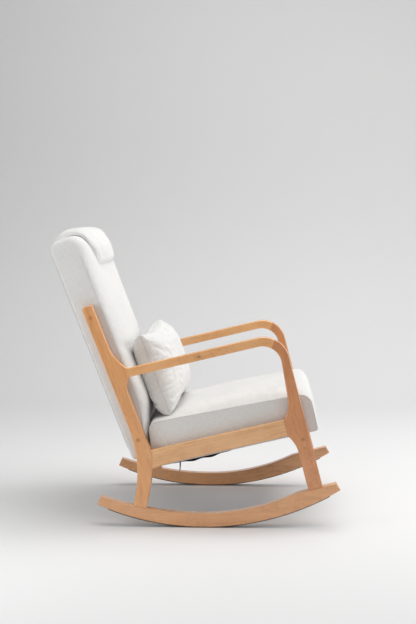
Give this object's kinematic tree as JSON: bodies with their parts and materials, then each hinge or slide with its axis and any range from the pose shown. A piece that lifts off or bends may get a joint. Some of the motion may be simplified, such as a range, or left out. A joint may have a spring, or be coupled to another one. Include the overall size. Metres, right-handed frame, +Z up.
{
  "type": "upholstered rocking chair",
  "caption": "Wooden-framed rocking chair with curved rockers, sloping arms arched into the front legs, a padded seat and high back, a headrest saddle and a loose lumbar pillow.",
  "frame": {"origin": "on the floor midway between the points where the two rockers touch it", "axes": "+X to the front of the chair, +Y to the sitter's left, +Z up"},
  "size_m": [0.965, 0.64, 0.9731],
  "materials": {
    "wood_arm": "satin lacquer",
    "wood_front_leg": "satin lacquer",
    "wood_rear_leg": "satin lacquer",
    "wood_rocker": "satin lacquer",
    "wood_plug": "satin lacquer",
    "inner_wood": "sawn",
    "plywood": "sanded",
    "linen_cover": "woven",
    "foam": "open cell",
    "webbing": "woven",
    "dust_cloth": "felted",
    "zinc_steel": "zinc plated",
    "brass_insert": "machined",
    "anti_slip_rubber": "matt"
  },
  "bodies": {
    "chair": {"arm_left": "wood_arm", "arm_right": "wood_arm", "back_board_bottom": "inner_wood", "back_board_middle": "inner_wood", "back_board_top": "inner_wood", "back_cover": "linen_cover", "back_foam": "foam", "back_rear_panel": "linen_cover", "back_stile_left": "inner_wood", "back_stile_right": "inner_wood", "back_webbing": "webbing", "bolt_plugs": "wood_plug", "dust_cover": "dust_cloth", "dust_tail": "dust_cloth", "frame_bolts": "zinc_steel", "frame_dowels": "inner_wood", "front_cross_rail": "inner_wood", "front_leg_left": "wood_front_leg", "front_leg_right": "wood_front_leg", "insert_nuts": "brass_insert", "rear_leg_left": "wood_rear_leg", "rear_leg_right": "wood_rear_leg", "rocker_left": "wood_rocker", "rocker_right": "wood_rocker", "rocker_strip_left": "anti_slip_rubber", "rocker_strip_right": "anti_slip_rubber", "seat_board_front": "inner_wood", "seat_board_left": "inner_wood", "seat_board_rear": "inner_wood", "seat_board_right": "inner_wood", "seat_corner_blocks": "inner_wood", "seat_cover": "linen_cover", "seat_deck": "plywood", "seat_foam": "foam", "seat_screws": "zinc_steel", "side_rail_left": "wood_arm", "side_rail_right": "wood_arm"},
    "headrest": {"headrest_pad": "linen_cover"},
    "lumbar_pillow": {"pillow_front_panel": "linen_cover", "pillow_rear_panel": "linen_cover"}
  },
  "joints": [
    {"name": "headrest_lift", "type": "slide", "parent": "chair", "child": "headrest", "axis": [-0.3616, 0, 0.9323], "range_m": [0, 0.2]},
    {"name": "pillow_lift", "type": "slide", "parent": "chair", "child": "lumbar_pillow", "axis": [0, 0, 1], "range_m": [0, 0.66]}
  ]
}
